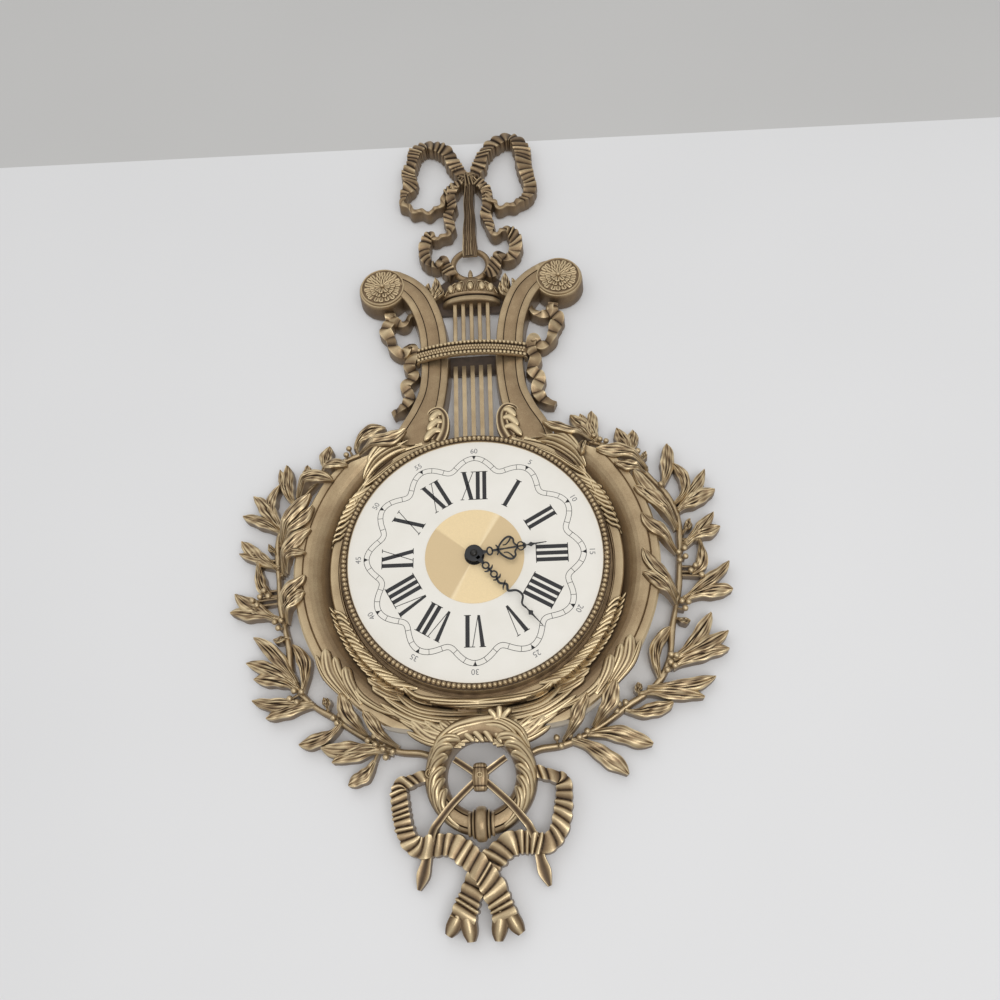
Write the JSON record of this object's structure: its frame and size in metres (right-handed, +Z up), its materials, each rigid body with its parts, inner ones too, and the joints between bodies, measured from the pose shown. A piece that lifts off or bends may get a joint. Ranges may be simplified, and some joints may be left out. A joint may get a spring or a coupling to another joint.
{
  "type": "lyre wall clock",
  "caption": "Gilt lyre-shaped wall clock with a ribbon bow, laurel sprays, a round Roman dial, hands and a quartz movement behind it.",
  "frame": {"origin": "centre of the hanger's keyhole, on the wall plane", "axes": "+Z up along the clock's height, -Y out of the wall towards the viewer, +X to the viewer's right"},
  "size_m": [0.4039, 0.0389, 0.7436],
  "materials": {
    "gold_paint": "antique gold paint with dark recesses",
    "dark_gold": "dark brown paint",
    "dial": "cream paint",
    "gilt_disc": "spun",
    "hands": "black paint",
    "brass": "turned",
    "gasket": "matt",
    "movement_case": "moulded",
    "cell": "printed sleeve",
    "contacts": "plated strip",
    "coil": "enamelled copper wire",
    "steel": "zinc plated",
    "rotor": "sintered magnet",
    "wheels": "moulded nylon",
    "board": "solder mask"
  },
  "bodies": {
    "case": {"case_body": "gold_paint", "lyre_arm_left": "gold_paint", "lyre_arm_right": "gold_paint", "rosette_left": "gold_paint", "rosette_right": "gold_paint", "crown_cap": "gold_paint", "crown_bud": "gold_paint", "strings_upper": "gold_paint", "strings_lower": "gold_paint", "crossband": "gold_paint", "hanging_ring": "gold_paint", "bow_loop_left": "gold_paint", "bow_loop_right": "gold_paint", "bow_knot": "gold_paint", "bow_drape": "gold_paint", "side_ribbon_left": "gold_paint", "side_ribbon_right": "gold_paint", "ribbon_swag_left": "gold_paint", "ribbon_swag_right": "gold_paint", "laurel_left": "gold_paint", "laurel_right": "gold_paint", "acanthus_left": "gold_paint", "acanthus_right": "gold_paint", "arm_scroll_left": "gold_paint", "arm_scroll_right": "gold_paint", "pendant_wreath": "gold_paint", "pendant_knop": "gold_paint", "crossed_stems": "gold_paint", "pendant_ribbon": "gold_paint", "bezel": "gold_paint", "crown_plate": "dark_gold", "string_bridge": "dark_gold", "dial_plate": "dial", "dial_centre": "gilt_disc", "hex_nut": "brass", "nut_washer": "brass", "gasket": "gasket", "movement_front": "movement_case", "movement_back": "movement_case", "battery": "cell", "contact_plus": "contacts", "contact_minus": "contacts", "coil": "coil", "stator": "steel", "circuit_board": "board", "hanger_plate": "steel", "hanger_screws": "steel"},
    "minute": {"minute_hand": "hands", "cannon_tube": "brass", "hand_nut": "brass"},
    "hour": {"hour_hand": "hands", "hour_wheel": "wheels"},
    "motion": {"motion_wheel": "wheels"},
    "setting": {"setting_knob": "movement_case"},
    "rotor": {"rotor": "rotor"},
    "intermediate": {"intermediate_wheel": "wheels"},
    "seconds": {"seconds_wheel": "wheels"},
    "third": {"third_wheel": "wheels"},
    "centre": {"centre_wheel": "wheels"}
  },
  "joints": [
    {"name": "minute_spin", "type": "hinge", "parent": "case", "child": "minute", "pos_m": [0, -0.03, -0.268], "axis": [0, 1, 0], "continuous": true},
    {"name": "hour_spin", "type": "hinge", "parent": "case", "child": "hour", "pos_m": [0, -0.03, -0.268], "axis": [0, 1, 0], "continuous": true},
    {"name": "motion_spin", "type": "hinge", "parent": "case", "child": "motion", "pos_m": [-0.00658, -0.03, -0.27039], "axis": [0, 1, 0], "continuous": true},
    {"name": "setting_spin", "type": "hinge", "parent": "case", "child": "setting", "pos_m": [-0.01451, -0.03, -0.27409], "axis": [0, 1, 0], "continuous": true},
    {"name": "rotor_spin", "type": "hinge", "parent": "case", "child": "rotor", "pos_m": [0.01329, -0.03, -0.25548], "axis": [0, 1, 0], "continuous": true},
    {"name": "intermediate_spin", "type": "hinge", "parent": "case", "child": "intermediate", "pos_m": [0.00909, -0.03, -0.26275], "axis": [0, 1, 0], "continuous": true},
    {"name": "seconds_spin", "type": "hinge", "parent": "case", "child": "seconds", "pos_m": [0, -0.03, -0.268], "axis": [0, 1, 0], "continuous": true},
    {"name": "third_spin", "type": "hinge", "parent": "case", "child": "third", "pos_m": [-0.0106, -0.03, -0.26188], "axis": [0, 1, 0], "continuous": true},
    {"name": "centre_spin", "type": "hinge", "parent": "case", "child": "centre", "pos_m": [0, -0.03, -0.268], "axis": [0, 1, 0], "continuous": true}
  ],
  "couplings": [
    {"joint": "hour_spin", "follows": "minute_spin", "ratio": 0.083333},
    {"joint": "motion_spin", "follows": "minute_spin", "ratio": -0.33333},
    {"joint": "setting_spin", "follows": "minute_spin", "ratio": 0.5},
    {"joint": "intermediate_spin", "follows": "rotor_spin", "ratio": -0.2},
    {"joint": "seconds_spin", "follows": "rotor_spin", "ratio": 0.033333},
    {"joint": "third_spin", "follows": "rotor_spin", "ratio": -0.0041667},
    {"joint": "centre_spin", "follows": "rotor_spin", "ratio": 0.00055556}
  ]
}
